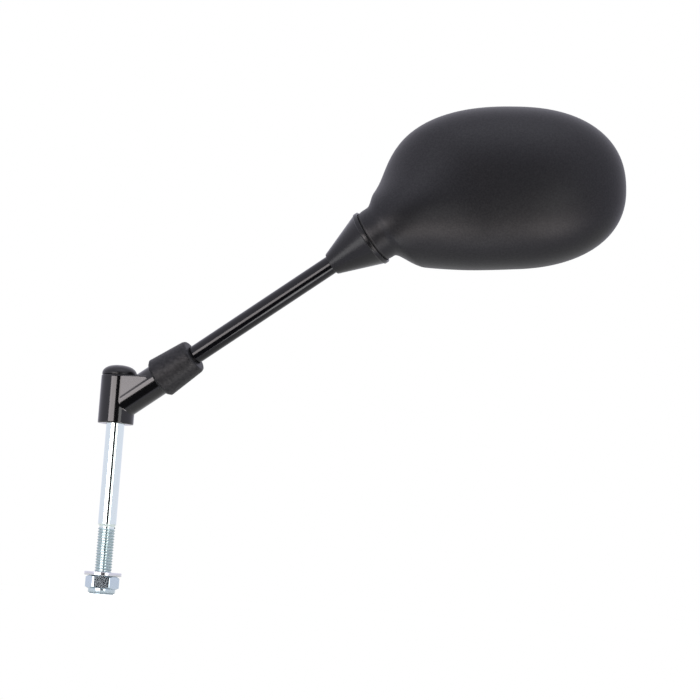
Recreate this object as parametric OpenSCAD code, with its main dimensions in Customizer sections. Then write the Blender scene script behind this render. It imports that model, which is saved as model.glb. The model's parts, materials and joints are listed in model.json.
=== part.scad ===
// Motorcycle mirror: oval head on a ball joint, round stem, clamp adapter and long bolt.
// Millimetres. The origin is the middle of the adapter's underside, on the bolt, and +Z runs
// up the bolt. The back of the head faces -Y and its length runs along +X, lifted a little.
// The stem leaves the adapter toward +X, turned a little toward -Y.

/* [Bolt and its nut] */
// Diameter of the plain shank
shank_dia = 9.8; // [8:0.1:12]
// Diameter over the thread
thread_dia = 9.4; // [7.6:0.1:12]
// Reach of the bolt below the adapter
bolt_reach = 91.6; // [80:0.1:110]
// Length of the thread, from the bolt's end
thread_length = 36.6; // [26:0.1:60]
// Diameter of the socket head
bolt_head_dia = 15.6; // [13:0.1:16]
// Height of the socket head
bolt_head_height = 8.4; // [6:0.1:9.2]
// Across flats of the key socket
key_flats = 8; // [6:1:8]
// How far the bolt's end stops short of the lock nut's underside
nut_overhang = 0.4; // [-10:0.1:2]
// Across flats of the lock nut
nut_flats = 15.8; // [14:0.1:18]
// Height of the lock nut with its collar
nut_height = 9.8; // [8:0.1:12]
// Height of the lock nut's round collar
nut_collar = 2.8; // [2:0.1:4]
// Diameter of the flat washer
washer_dia = 20; // [18:0.5:24]
// Thickness of the flat washer
washer_thick = 2; // [1:0.1:3]
// Thickness of the washer under the bolt's head
head_washer_thick = 1.5; // [1:0.1:2]

/* [Adapter] */
// Diameter of the upright barrel
barrel_dia = 19.4; // [18.5:0.1:22]
// Height of the barrel
barrel_height = 26.2; // [24:0.1:30]
// Depth of the pocket for the bolt head, from the barrel's top
pocket_depth = 13.2; // [11:0.1:15]
// Diameter of that pocket
pocket_dia = 16.6; // [16:0.1:17]
// Diameter of the slanting boss that holds the stem
boss_dia = 17.3; // [15:0.1:19]
// How far the boss runs along the stem's line
boss_end = 31; // [28:0.1:36]
// Thickness of the flat web between barrel and boss
web_thick = 16; // [10:0.1:17]
// Where the web's level top edge ends
web_top_run = 19.1; // [14:0.1:24]
// Diameter of the dome cap
cap_dia = 18.9; // [17:0.1:19.4]
// Height of the dome cap above the barrel
cap_rise = 5.8; // [3:0.1:8]

/* [Stem] */
// Turn of the stem about the bolt, toward the camera
stem_turn = 18; // [0:1:30]
// Rise of the stem above level
stem_rise = 35; // [20:1:50]
// Height at which the stem's line meets the bolt's
stem_cross = 9.3; // [6:0.1:12]
// Diameter of the rod
rod_dia = 10; // [8:0.1:12]
// Start of the rod in the boss
rod_start = 15.8; // [15.6:0.1:20]
// From the bolt's line to the middle of the ball
ball_at = 172; // [150:0.5:200]
// Diameter of the ball
ball_dia = 17; // [15:0.5:18]
// Diameter of the rod's waist below the ball
waist_dia = 8; // [6:0.5:9]
// Across flats of the stem's lock nut, under the boot
stem_nut_flats = 16; // [14:0.5:17]
// Height of that nut
stem_nut_height = 6; // [4:0.1:7]
// Thickness of the washer under it
stem_washer_thick = 1.8; // [1:0.1:2.5]

/* [Boot and cone] */
// Start of the rubber boot
boot_start = 28.3; // [26:0.1:30]
// End of the rubber boot
boot_end = 52; // [45:0.1:60]
// Diameter of the boot at its low end
boot_low_dia = 22.1; // [21:0.1:24]
// Diameter of the boot at its high end
boot_high_dia = 18.9; // [15:0.1:20]
// Length of the cone cover
cone_length = 26.5; // [20:0.1:32]
// Diameter of the cone at its small end
cone_small_dia = 12.2; // [11:0.1:14]
// How far the cone, just before its lip, stands out past the neck
cone_overhang = 0.6; // [0.5:0.05:1]
// How far the lip stands out past the cone
lip_overhang = 0.4; // [0.2:0.05:1]
// Length of the lip
lip_length = 2.2; // [1:0.1:4]
// The lip ends this far short of the ball's middle
lip_short = 3.3; // [2.5:0.1:5]

/* [Head] */
// From the head's middle, where it is tallest, to its outer end
rim_out = 58.9; // [45:0.1:70]
// From the head's middle to its end over the stem
rim_in = 70.2; // [60:0.1:90]
// From the middle to the top edge
rim_up = 44.5; // [35:0.1:55]
// From the middle to the lower edge
rim_low = 43; // [35:0.1:55]
// Squareness of the upper outer corner, 2 is an ellipse
square_out_up = 2.3; // [1.8:0.05:3.5]
// Squareness of the lower outer corner
square_out_low = 2.25; // [1.8:0.05:3.5]
// Squareness of the upper corner on the stem's side
square_in_up = 2.35; // [1.8:0.05:3.5]
// Squareness of the lower corner on the stem's side
square_in_low = 3.8; // [1.8:0.05:4.2]
// Share by which the upper half narrows toward the outer end
up_taper = 0.016; // [0:0.002:0.08]
// The same for the lower half
low_taper = 0.038; // [0:0.002:0.08]
// Depth of the housing from rim to crown
head_depth = 33; // [25:0.5:45]
// Squareness of the dome
dome_square = 2.35; // [2:0.05:3]
// Thickness of the housing's wall
wall = 2.3; // [1.8:0.1:3]
// Diameter of the round neck
neck_dia = 29; // [26:0.1:30]
// Radius of the sweep from the neck into the dome
neck_sweep = 30; // [4:1:40]
// Length of neck over which the sweep grows from nothing
sweep_run = 10; // [8:1:24]
// Length over which the neck sinks into the dome
neck_sink = 48; // [30:1:80]
// How fast the sinking neck bends toward the glass, per mm of its run
neck_bend = 0.009; // [0:0.0005:0.012]
// Lift of the head's length above level
head_lift = 4.2; // [-10:0.1:10]
// Ball's middle from the rim's middle, along the head
ball_along = -74.35; // [-90:0.05:-60]
// Ball's middle behind the rim
ball_behind = 15.5; // [15:0.1:20]
// Ball's middle below the rim's middle
ball_below = 26.15; // [15:0.05:35]
// Depth of the glass behind the rim
glass_sink = 1.2; // [0.8:0.1:3]
// Thickness of the glass
glass_thick = 3; // [2:0.1:4]
// Thickness of the foam behind the glass
foam_thick = 0.8; // [0.5:0.1:2]
// Thickness of the glass carrier
carrier_thick = 2; // [1.5:0.1:3]
// Thickness of the gasket's wall
gasket_thick = 0.8; // [0.6:0.1:1.5]

/* [Ball seat] */
// Outer diameter of the floating nylon seat
seat_dia = 20.4; // [19:0.1:21]
// Running clearance between the balls and their seats
seat_play = 0.05; // [0.02:0.01:0.1]
// End of the seat's bore inside the head
seat_bore_end = 14; // [13.5:0.1:16]

/* [Hidden] */
$fa = 4;
$fs = 0.5;
gap = 0.3;
// running clearance of the bolt and of the rod in the adapter
run_play = 0.05;
rod_pin_dia = rod_dia - 0.14;
thread_top = bolt_reach - thread_length;
nut_low = bolt_reach + nut_overhang;
nut_top = -nut_low + nut_height;
pocket_floor = barrel_height - pocket_depth;
bolt_head_low = pocket_floor + head_washer_thick + run_play;
cone_large_dia = neck_dia + 2 * cone_overhang;
lip_dia = cone_large_dia + 2 * lip_overhang;
// rings of the plates behind the rim: gasket's outside and inside, carrier, foam
gasket_out = wall + 2 * gap;
gasket_in = gasket_out + gasket_thick;
glass_back = glass_sink + glass_thick;
foam_back = glass_back + foam_thick;
carrier_back = foam_back + carrier_thick;
cone_start = ball_at - lip_short - cone_length;
stem_nut_start = boss_end + gap + stem_washer_thick;
stem_nut_end = stem_nut_start + stem_nut_height;
neck_r = neck_dia / 2;
seat_r = seat_dia / 2;
ball_r = ball_dia / 2;
// the stem's direction, and the head's axes, in the part's frame
stem_dir = [cos(stem_turn) * cos(stem_rise), -sin(stem_turn) * cos(stem_rise), sin(stem_rise)];
ball_mid = [0, 0, stem_cross] + ball_at * stem_dir;
head_x = [cos(head_lift), 0, sin(head_lift)];
head_z = [-sin(head_lift), 0, cos(head_lift)];
ball_in_head = [ball_along, -ball_behind, -ball_below];
// the same direction seen from the head's own axes
neck_dir = [stem_dir * head_x, stem_dir[1], stem_dir * head_z];
// v runs along the rim plane under the neck, w across it
v_len = norm([neck_dir[0], neck_dir[2]]);
v_dir = [neck_dir[0], 0, neck_dir[2]] / v_len;
w_dir = [-neck_dir[2], 0, neck_dir[0]] / v_len;
// the shell is cut from the neck's mouth to the rim by a fan of planes through one line,
// where the mouth's plane meets the rim's
mouth_at = -2;
mouth_mid = ball_in_head + mouth_at * neck_dir;
fan_reach = -mouth_mid[1] / v_len;
fan_start = 90 + asin(-neck_dir[1]);
fan_line = mouth_mid + fan_reach * (-neck_dir[1] * v_dir + v_len * [0, 1, 0]);
fan_rows = 30;
fan_cols = 64;
inner_rows = 12;
OVER = 0.5;

// Frames
// Draws its children along the stem: their Z is the stem's line, from the bolt outward.
module on_stem() {
    translate([0, 0, stem_cross])
        rotate([0, 0, -stem_turn])
        rotate([0, 90 - stem_rise, 0])
        children();
}

// The same, measured from the middle of the ball.
module at_ball() {
    on_stem() translate([0, 0, ball_at]) children();
}

// Draws its children in the head's own axes, from the middle of the rim.
module in_head() {
    translate(ball_mid)
        rotate([0, -head_lift, 0])
        translate(-ball_in_head)
        children();
}

// Helpers
module tube(outer_r, inner_r, length) {
    difference() {
        cylinder(r = outer_r, h = length);
        translate([0, 0, -OVER]) cylinder(r = inner_r, h = length + 2 * OVER);
    }
}

module hex(flats, height) {
    cylinder(d = flats / cos(30), h = height, $fn = 6);
}

// A hexagon with its corners eased by a cone at each end that is asked for.
module eased_hex(flats, height) {
    corner_r = flats / cos(30) / 2;
    ease = (corner_r - flats / 2) * tan(30);
    intersection() {
        hex(flats, height);
        union() {
            cylinder(r1 = flats / 2 - 0.1, r2 = corner_r + 0.15, h = ease + 0.2);
            translate([0, 0, ease + 0.2])
                cylinder(r = corner_r + 0.15, h = height - 2 * ease - 0.4);
            translate([0, 0, height - ease - 0.2])
                cylinder(r1 = corner_r + 0.15, r2 = flats / 2 - 0.1, h = ease + 0.2);
        }
    }
}

// Root: the bolt and what is clamped on it
module mounting_bolt() {
    color([0.74, 0.77, 0.80]) difference() {
        union() {
            translate([0, 0, -thread_top]) cylinder(d = shank_dia, h = thread_top + bolt_head_low);
            translate([0, 0, -bolt_reach + 1]) cylinder(d = thread_dia, h = bolt_reach - thread_top);
            translate([0, 0, -bolt_reach]) cylinder(d1 = thread_dia - 1.6, d2 = thread_dia, h = 1);
            translate([0, 0, bolt_head_low]) cylinder(d = bolt_head_dia, h = bolt_head_height);
        }
        translate([0, 0, bolt_head_low + bolt_head_height - 5]) hex(key_flats, 5 + OVER);
    }
}

module head_washer() {
    color([0.70, 0.72, 0.74])
        translate([0, 0, pocket_floor + run_play]) tube(bolt_head_dia / 2, shank_dia / 2, head_washer_thick);
}

module flat_washer() {
    color([0.72, 0.74, 0.76])
        translate([0, 0, nut_top]) tube(washer_dia / 2, thread_dia / 2 + 0.5, washer_thick);
}

module locknut() {
    hex_height = nut_height - nut_collar;
    color([0.66, 0.70, 0.74]) difference() {
        union() {
            translate([0, 0, nut_top - hex_height]) eased_hex(nut_flats, hex_height);
            translate([0, 0, -nut_low + 0.6]) cylinder(d = nut_flats - 1.2, h = nut_collar);
            translate([0, 0, -nut_low]) cylinder(d1 = nut_flats - 2.4, d2 = nut_flats - 1.2, h = 0.6);
        }
        translate([0, 0, -nut_low - OVER]) cylinder(d = thread_dia, h = nut_height + 2 * OVER);
        translate([0, 0, -nut_low + 0.5]) cylinder(d = thread_dia + 2.6, h = 2.2);
    }
}

module locknut_ring() {
    color([0.86, 0.88, 0.90])
        translate([0, 0, -nut_low + 0.5]) tube(thread_dia / 2 + 1.3, thread_dia / 2, 2.2);
}

// Adapter: turns on the bolt
module clamp_body() {
    rise = tan(stem_rise);
    web_end = web_top_run + 1.2;
    color([0.05, 0.05, 0.055]) difference() {
        union() {
            rotate([0, 0, 70]) cylinder(d = barrel_dia, h = barrel_height);
            on_stem() rotate([0, 0, 40]) cylinder(d = boss_dia, h = boss_end);
            rotate([0, 0, -stem_turn])
                translate([0, web_thick / 2, 0])
                rotate([90, 0, 0])
                linear_extrude(web_thick)
                polygon([[-4, stem_cross + 2], [-4, barrel_height - 0.06],
                    [web_top_run, barrel_height - 0.06],
                    [web_end, stem_cross + rise * web_end - 1]]);
        }
        translate([0, 0, -OVER]) cylinder(d = shank_dia + 2 * run_play, h = pocket_floor + 2 * OVER);
        translate([0, 0, pocket_floor]) cylinder(d = pocket_dia, h = barrel_height);
        on_stem() translate([0, 0, rod_start - gap]) cylinder(d = rod_dia, h = boss_end);
    }
}

module dome_cap() {
    edge = 0.9;
    cap_r = cap_dia / 2;
    dome_r = (cap_r * cap_r + (cap_rise - edge) * (cap_rise - edge)) / (2 * (cap_rise - edge));
    color([0.11, 0.11, 0.12]) translate([0, 0, barrel_height]) {
        cylinder(r = cap_r, h = edge);
        intersection() {
            translate([0, 0, cap_rise - dome_r]) sphere(r = dome_r);
            translate([0, 0, edge]) cylinder(r = cap_r, h = cap_rise);
        }
        translate([0, 0, -2.4]) tube(pocket_dia / 2, pocket_dia / 2 - 1.6, 2.4);
    }
}

// Stem: turns in the adapter's boss
module stem_rod() {
    waist_start = ball_at - neck_r + 0.3;
    color([0.03, 0.03, 0.035]) on_stem() {
        translate([0, 0, rod_start]) cylinder(d = rod_pin_dia, h = stem_nut_end - rod_start);
        translate([0, 0, stem_nut_end]) cylinder(d = rod_dia, h = waist_start - stem_nut_end - 1);
        translate([0, 0, waist_start - 1]) cylinder(d1 = rod_dia, d2 = waist_dia, h = 1);
        translate([0, 0, waist_start]) cylinder(d = waist_dia, h = ball_at + 2 - waist_start);
    }
}

module stem_ball() {
    color([0.62, 0.64, 0.66]) at_ball() difference() {
        sphere(r = ball_r);
        translate([0, 0, -ball_dia]) cylinder(d = waist_dia, h = ball_dia + 2);
    }
}

module stem_nut_washer() {
    color([0.62, 0.64, 0.66]) on_stem()
        translate([0, 0, boss_end + gap]) tube(stem_nut_flats / 2 + 0.4, rod_pin_dia / 2, stem_washer_thick);
}

module stem_locknut() {
    color([0.62, 0.64, 0.66]) on_stem() translate([0, 0, stem_nut_start]) difference() {
        eased_hex(stem_nut_flats, stem_nut_height);
        translate([0, 0, -OVER]) cylinder(d = rod_pin_dia, h = stem_nut_height + 2 * OVER);
    }
}

module lower_boot() {
    low = boot_low_dia / 2;
    high = boot_high_dia / 2;
    length = boot_end - boot_start;
    roll = 1.6;
    color([0.13, 0.13, 0.135]) on_stem() translate([0, 0, boot_start]) difference() {
        rotate_extrude() {
            polygon([[0, 0], [low - roll, 0], [low - 0.35, roll * 0.55], [low, roll * 1.25],
                [high + 0.1, length - roll], [high - 0.4, length - roll * 0.45],
                [high - roll, length], [0, length]]);
        }
        translate([0, 0, -OVER]) cylinder(d = boss_dia + 2 * gap, h = boss_end - boot_start + 2 * OVER);
        translate([0, 0, boss_end - boot_start + 0.2])
            cylinder(r = stem_nut_flats / cos(30) / 2 + 0.15, h = stem_nut_end - boss_end);
        cylinder(d = rod_dia, h = length + OVER);
    }
}

module cone_cover() {
    cup_r = neck_r + 0.4;
    color([0.14, 0.14, 0.145]) on_stem() translate([0, 0, cone_start]) difference() {
        union() {
            cylinder(d1 = cone_small_dia, d2 = cone_large_dia, h = cone_length - lip_length);
            translate([0, 0, cone_length - lip_length - 0.4])
                cylinder(d1 = cone_large_dia - 0.3, d2 = lip_dia, h = 0.4);
            translate([0, 0, cone_length - lip_length]) cylinder(d = lip_dia, h = lip_length);
        }
        translate([0, 0, -OVER]) cylinder(d = rod_dia, h = cone_length);
        translate([0, 0, cone_length + lip_short]) sphere(r = cup_r);
    }
}

// The floating seat between ball and neck
module ball_seat_ring() {
    color([0.90, 0.90, 0.86]) at_ball() difference() {
        intersection() {
            sphere(r = seat_r);
            translate([0, 0, -6.3]) cylinder(r = seat_r + 1, h = 5.1);
        }
        sphere(r = ball_r + seat_play);
    }
}

// Head
// 1 on the rim's outline, less inside it and more outside.
function rim_norm(x, z) = let (
    n = x > 0 ? (z > 0 ? square_out_up : square_out_low)
        : (z > 0 ? square_in_up : square_in_low),
    out = x / max(norm([x, z]), 0.001),
    along = abs(x) / (x > 0 ? rim_out : rim_in),
    across = abs(z) / (z > 0 ? rim_up * (1 - up_taper * out) : rim_low * (1 - low_taper * out)))
    pow(pow(along, n) + pow(across, n), 1 / n);

function rim_outline(inset, count) = [for (i = [0 : count - 1]) let (a = 360 * i / count,
    r = 1 / rim_norm(cos(a), sin(a)) - inset) [r * cos(a), r * sin(a)]];

// Signed distance, near enough, of a point from the plain dome.
function dome_gap(p) = let (
    g = pow(pow(rim_norm(p[0], p[2]), dome_square) + pow(abs(p[1]) / head_depth, dome_square),
        1 / dome_square))
    norm(p) * (1 - 1 / max(g, 0.02));

// The same for the neck, which bends and thins away inside the dome.
function neck_gap(p) = let (
    q = p - ball_in_head,
    t = q * neck_dir,
    side = norm(q - t * neck_dir - [0, neck_bend * pow(max(t - 8, 0), 2), 0]),
    thin = max(t - 6, 0) / neck_sink)
    t < 0 ? norm(q) - neck_r : side - neck_r * (1 - thin * thin);

// From 0 to 1, level at both ends.
function eased(x) = let (c = min(max(x, 0), 1)) c * c * (3 - 2 * c);

// Dome and neck together, with a sweep that grows from nothing at the neck's mouth.
function shell_gap(p) = let (
    d = dome_gap(p),
    n = neck_gap(p),
    t = (p - ball_in_head) * neck_dir,
    k = 0.01 + neck_sweep * eased(t / sweep_run),
    h = max(k - abs(d - n), 0) / k)
    min(d, n) - h * h * k / 4;

// Steps outward from a point inside until the shell's level is met.
function reach_to(mid, dir, level, low, high, turns) = turns == 0 ? (low + high) / 2
    : let (m = (low + high) / 2)
    shell_gap(mid + m * dir) < level ? reach_to(mid, dir, level, m, high, turns - 1)
    : reach_to(mid, dir, level, low, m, turns - 1);

function fan_dir(f) = cos(f) * v_dir - sin(f) * [0, 1, 0];

// One closed row of the shell, cut by the plane at angle f of the fan.
function fan_row(f, level) = let (
    d = fan_dir(f),
    inside = fan_line + fan_reach * d,
    far = reach_to(inside, d, level, 0, 150, 20),
    near = reach_to(inside, -d, level, 0, fan_reach + 5, 20),
    mid_a = inside + (far - near) / 2 * d,
    up = reach_to(mid_a, w_dir, level, 0, 120, 20),
    down = reach_to(mid_a, -w_dir, level, 0, 120, 20),
    mid = mid_a + (up - down) / 2 * w_dir)
    [for (i = [0 : fan_cols - 1]) let (
        a = 360 * i / fan_cols,
        dir = cos(a) * d + sin(a) * w_dir)
        mid + reach_to(mid, dir, level, 0, 150, 24) * dir];

function fan_angle(s) = fan_start * pow(1 - s, 1.4);

// Faces between two rows that start at the given point numbers.
function band(first, second) = [for (i = [0 : fan_cols - 1]) let (j = (i + 1) % fan_cols)
    each [[first + i, second + j, second + i], [first + i, first + j, second + j]]];

module shell() {
    rows = [for (r = [0 : fan_rows]) fan_row(fan_angle(r / fan_rows), 0)];
    inner = [for (r = [0 : inner_rows])
        fan_row(fan_angle(1 - r / inner_rows), -wall)];
    points = [for (row = rows) each row, for (row = inner) each row];
    count = fan_rows + inner_rows + 2;
    faces = [for (r = [0 : count - 1])
        each band(r * fan_cols, ((r + 1) % count) * fan_cols)];
    polyhedron(points = points, faces = faces, convexity = 6);
}

module housing() {
    color([0.15, 0.145, 0.16]) in_head() shell();
}

// The moulded insert that fills the neck's mouth and holds the ball's seat.
module neck_socket() {
    color([0.12, 0.12, 0.125]) at_ball() difference() {
        union() {
            intersection() {
                sphere(r = neck_r);
                translate([0, 0, -11.2]) cylinder(r = neck_r, h = 11.2 + mouth_at);
            }
            translate([0, 0, mouth_at - 0.1])
                cylinder(r1 = neck_r - wall - 0.4, r2 = seat_r + 0.8, h = seat_bore_end + 2.1);
        }
        sphere(r = seat_r + seat_play);
        cylinder(r = seat_r + seat_play, h = seat_bore_end + 1);
        translate([0, 0, -11.4]) cylinder(r1 = 9.2, r2 = 7, h = 4);
        translate([0, 0, 12]) cylinder(r = seat_r + 0.4, h = 1.1);
    }
}

module pressure_cup() {
    color([0.90, 0.90, 0.86]) at_ball() difference() {
        translate([0, 0, 1.2]) cylinder(r = seat_r - 0.1, h = 8);
        sphere(r = ball_r + seat_play);
        cylinder(r = 3, h = 12);
    }
}

module disc_spring() {
    color([0.55, 0.57, 0.60]) at_ball() translate([0, 0, 9.2]) difference() {
        cylinder(r1 = 9.8, r2 = 5.2, h = 1.4);
        translate([0, 0, -0.8]) cylinder(r1 = 9.8, r2 = 5.2, h = 1.4);
        translate([0, 0, -OVER]) cylinder(r = 4.6, h = 3);
    }
}

module spring_plate() {
    color([0.60, 0.62, 0.64]) at_ball() translate([0, 0, 10.6]) tube(seat_r - 0.1, 3, 1.4);
}

module retaining_ring() {
    color([0.60, 0.62, 0.64]) at_ball() translate([0, 0, 12]) difference() {
        tube(seat_r + 0.4, seat_r - 1.8, 1.1);
        translate([0, -1.5, -OVER]) cube([seat_dia, 3, 3]);
    }
}

// A plate with the rim's outline, from depth near to depth far behind the rim.
module rim_plate(inset, near, far) {
    translate([0, -near, 0]) rotate([90, 0, 0]) linear_extrude(far - near)
        polygon(rim_outline(inset, 96));
}

module glass_carrier() {
    color([0.10, 0.10, 0.10]) difference() {
        in_head() rim_plate(gasket_in + 0.2, foam_back, carrier_back);
        // relief round the neck's socket
        at_ball() translate([0, 0, mouth_at - 2])
            cylinder(r = neck_r - wall - 0.4 + 2 * gap, h = seat_bore_end + 4);
    }
}

module foam_pad() {
    color([0.25, 0.25, 0.26]) in_head() rim_plate(gasket_in + 2.1, glass_back, foam_back);
}

module mirror_glass() {
    color([0.80, 0.84, 0.86]) in_head() rim_plate(gasket_in, glass_sink, glass_back);
}

module rim_gasket() {
    color([0.08, 0.08, 0.08]) in_head() difference() {
        rim_plate(gasket_out, glass_sink / 3, glass_back);
        rim_plate(gasket_in, 0, carrier_back);
    }
}

mounting_bolt();
head_washer();
flat_washer();
locknut();
locknut_ring();
clamp_body();
dome_cap();
stem_rod();
stem_ball();
stem_nut_washer();
stem_locknut();
lower_boot();
cone_cover();
ball_seat_ring();
housing();
neck_socket();
pressure_cup();
disc_spring();
spring_plate();
retaining_ring();
glass_carrier();
foam_pad();
mirror_glass();
rim_gasket();
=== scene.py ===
# %% [markdown]
# A motorcycle mirror on its stem
#
# The photograph shows the back of the mirror: an oval black housing, whose neck runs down to a
# cone cover, a straight gloss rod, a rubber boot, a die-cast adapter and a long zinc-plated bolt.
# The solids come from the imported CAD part. This script puts a fine mesh and a real finish on each
# piece that shows, and a finish alone on the pieces inside.

import json
import math

import bmesh
import bpy
import numpy as np
from mathutils import Matrix, Vector

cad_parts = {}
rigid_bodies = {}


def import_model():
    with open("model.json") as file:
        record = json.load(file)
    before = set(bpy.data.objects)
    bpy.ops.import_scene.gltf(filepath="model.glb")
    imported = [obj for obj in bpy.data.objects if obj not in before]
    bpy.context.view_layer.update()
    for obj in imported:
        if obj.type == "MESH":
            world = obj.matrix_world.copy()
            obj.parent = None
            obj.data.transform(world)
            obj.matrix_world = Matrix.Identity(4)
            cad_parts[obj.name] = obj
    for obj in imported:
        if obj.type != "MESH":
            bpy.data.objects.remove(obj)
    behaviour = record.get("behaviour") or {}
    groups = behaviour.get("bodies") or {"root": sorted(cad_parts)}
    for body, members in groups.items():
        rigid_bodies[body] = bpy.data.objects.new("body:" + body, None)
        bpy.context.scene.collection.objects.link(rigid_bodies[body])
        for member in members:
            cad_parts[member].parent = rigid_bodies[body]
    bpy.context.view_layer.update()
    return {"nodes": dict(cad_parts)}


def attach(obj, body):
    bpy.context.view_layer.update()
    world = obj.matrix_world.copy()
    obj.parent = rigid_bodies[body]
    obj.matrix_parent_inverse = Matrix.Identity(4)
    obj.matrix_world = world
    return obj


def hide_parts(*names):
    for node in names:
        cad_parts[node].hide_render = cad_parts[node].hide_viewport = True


bpy.ops.object.select_all(action="SELECT")
bpy.ops.object.delete()
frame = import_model()
CAD = frame["nodes"]

# %% [markdown]
# Places
#
# The bolt stands on the z axis, with the adapter's foot at height nought. The stem leaves it at a
# slant and ends in a ball, which carries the head. A piece could be made anywhere and its object
# moved. Here its points are written in the piece's own axes, in millimetres, and then placed in
# the mesh, because patterns and the export both want each finished object at the origin.

# %% Directions of the stem and the head
MM = 0.001
STEM_TURN, STEM_RISE, STEM_CROSS, BALL_AT = 18.0, 35.0, 9.3, 172.0
HEAD_LIFT = 4.2
BALL_IN_HEAD = np.array([-74.35, -15.5, -26.15])
turn, rise, lift = (math.radians(a) for a in (STEM_TURN, STEM_RISE, HEAD_LIFT))
STEM = np.array([math.cos(turn) * math.cos(rise), -math.sin(turn) * math.cos(rise), math.sin(rise)])
CROSS = np.array([0, 0, STEM_CROSS])
BALL = CROSS + BALL_AT * STEM
HEAD_X = np.array([math.cos(lift), 0, math.sin(lift)])
HEAD_Y = np.array([0.0, 1.0, 0.0])
HEAD_Z = np.array([-math.sin(lift), 0, math.cos(lift)])
# two directions square to the stem, the second as near upright as it can be
STEM_SIDE = np.cross(STEM, [0, 0, 1.0])
STEM_SIDE /= np.linalg.norm(STEM_SIDE)
STEM_UP = np.cross(STEM_SIDE, STEM)
print("the ball's centre is at", np.round(BALL, 2), "mm")


# %% Placing points
def upright(points):
    """Leaves points where they are, on the bolt's line."""
    return np.asarray(points, float)


def along_stem(points):
    """Places points whose z runs up the stem from the bolt's line."""
    p = np.asarray(points, float)
    return CROSS + p[:, 0:1] * STEM_SIDE + p[:, 1:2] * STEM_UP + p[:, 2:3] * STEM


def on_head(points):
    """Places points given in the head's own axes, from the middle of the rim's plane."""
    p = np.asarray(points, float) - BALL_IN_HEAD
    return BALL + p[:, 0:1] * HEAD_X + p[:, 1:2] * HEAD_Y + p[:, 2:3] * HEAD_Z


# %% [markdown]
# Helpers for finishes
#
# Materials could be set up by hand in the Shader Editor. In a script two helpers do the dull work
# in every node tree: one turns a hex colour, as a picture editor shows it, into the linear values
# that Cycles wants, and one adds a node with its settings and links. Patterns read the Object
# coordinates, scaled to millimetres, so a grain's size can be written as it is measured.

# %% Colour and node helpers
def linear(code):
    """A hex sRGB colour as linear RGBA."""
    values = [int(code[i : i + 2], 16) / 255 for i in (1, 3, 5)]
    return [v / 12.92 if v <= 0.04045 else ((v + 0.055) / 1.055) ** 2.4 for v in values] + [1.0]


def add(tree, kind, settings=None, **inputs):
    """Adds a node, sets its properties, and fills or links its inputs by name or number (i0, i1)."""
    node = tree.nodes.new(kind)
    for key, value in (settings or {}).items():
        setattr(node, key, value)
    for key, value in inputs.items():
        numbered = key[0] == "i" and key[1:].isdigit()
        socket = node.inputs[int(key[1:])] if numbered else node.inputs[key.replace("_", " ")]
        if isinstance(value, bpy.types.NodeSocket):
            tree.links.new(value, socket)
        else:
            socket.default_value = value
    return node


def finish_of(name, colour, roughness, metallic=0.0, gloss=0.5):
    """A plain finish; returns the material, its tree, its shader and the Object coordinates in mm."""
    material = bpy.data.materials.new(name)
    material.use_nodes = True
    tree = material.node_tree
    tree.nodes.clear()
    shader = add(tree, "ShaderNodeBsdfPrincipled", Base_Color=linear(colour), Roughness=roughness,
                 Metallic=metallic, Specular_IOR_Level=gloss)
    add(tree, "ShaderNodeOutputMaterial", Surface=shader.outputs[0])
    where = add(tree, "ShaderNodeTexCoord")
    mm = add(tree, "ShaderNodeVectorMath", {"operation": "SCALE"}, i0=where.outputs["Object"], Scale=1 / MM)
    print("finish", name)
    return material, tree, shader, mm.outputs[0]


def grain(tree, shader, mm, size_mm, height_mm, gloss_levels, strength):
    """A moulded grain: bumps of that size and height, and a gloss that varies between two levels."""
    noise = add(tree, "ShaderNodeTexNoise", Vector=mm, Scale=1 / size_mm, Detail=2.0, Roughness=0.6)
    bump = add(tree, "ShaderNodeBump", Strength=strength, Distance=height_mm * MM, Height=noise.outputs[0])
    tree.links.new(bump.outputs[0], shader.inputs["Normal"])
    low_gloss, high_gloss = gloss_levels
    level = add(tree, "ShaderNodeMapRange", i0=noise.outputs[0], i1=0.35, i2=0.65,
                i3=low_gloss, i4=high_gloss)
    tree.links.new(level.outputs[0], shader.inputs["Specular IOR Level"])


# %% [markdown]
# Moulded plastic and rubber
#
# The housing, the cone and the boot are moulded, and each takes its surface from its mould. A flat
# grey would be too even and a picture of grain isn't needed: a little noise moves the surface up
# and down and changes its gloss with it, which gives the soft, slightly mottled look.

# %% Grained plastic and rubber
# ABS from a spark-eroded mould: its fine grain breaks the light up, so black looks matte and grey.
# Real grain is near 0.1 mm, too fine for this picture, and is drawn at 0.9 mm.
housing_abs, tree, shader, mm = finish_of("grained_abs", "#08080C", 0.43)
grain(tree, shader, mm, 0.9, 0.05, (0.28, 0.36), 0.6)
# The same plastic from a finer mould: a satin surface with a soft streak of light down the cone.
# Its grain of about 0.05 mm is drawn at 0.7 mm.
cone_plastic, tree, shader, mm = finish_of("satin_plastic", "#08080A", 0.27)
grain(tree, shader, mm, 0.7, 0.02, (0.3, 0.36), 0.5)
# Black rubber straight from its mould: dull, with cloudy patches a millimetre or two across.
boot_rubber, tree, shader, mm = finish_of("moulded_rubber", "#0A0A0D", 0.5)
grain(tree, shader, mm, 1.6, 0.10, (0.26, 0.40), 0.8)

# %% [markdown]
# Gloss black, and what is inside
#
# The adapter is zinc alloy and the rod is steel, both under gloss black. Such paint has almost no
# colour of its own: the eye sees the studio in it, so a dark base, a low roughness and the right
# lamps are all it needs. The pieces inside are plain, as they only show in a cut-away.

# %% Paint, cap and inner plastics
# Polished black nylon: a soft highlight on the dome.
cap_plastic = finish_of("cap_plastic", "#0B0B0D", 0.3, 0.0, 0.36)[0]
# Stoved gloss paint on a casting: sharp stripes of light.
gloss_paint = finish_of("gloss_black_paint", "#050506", 0.12)[0]
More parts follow.
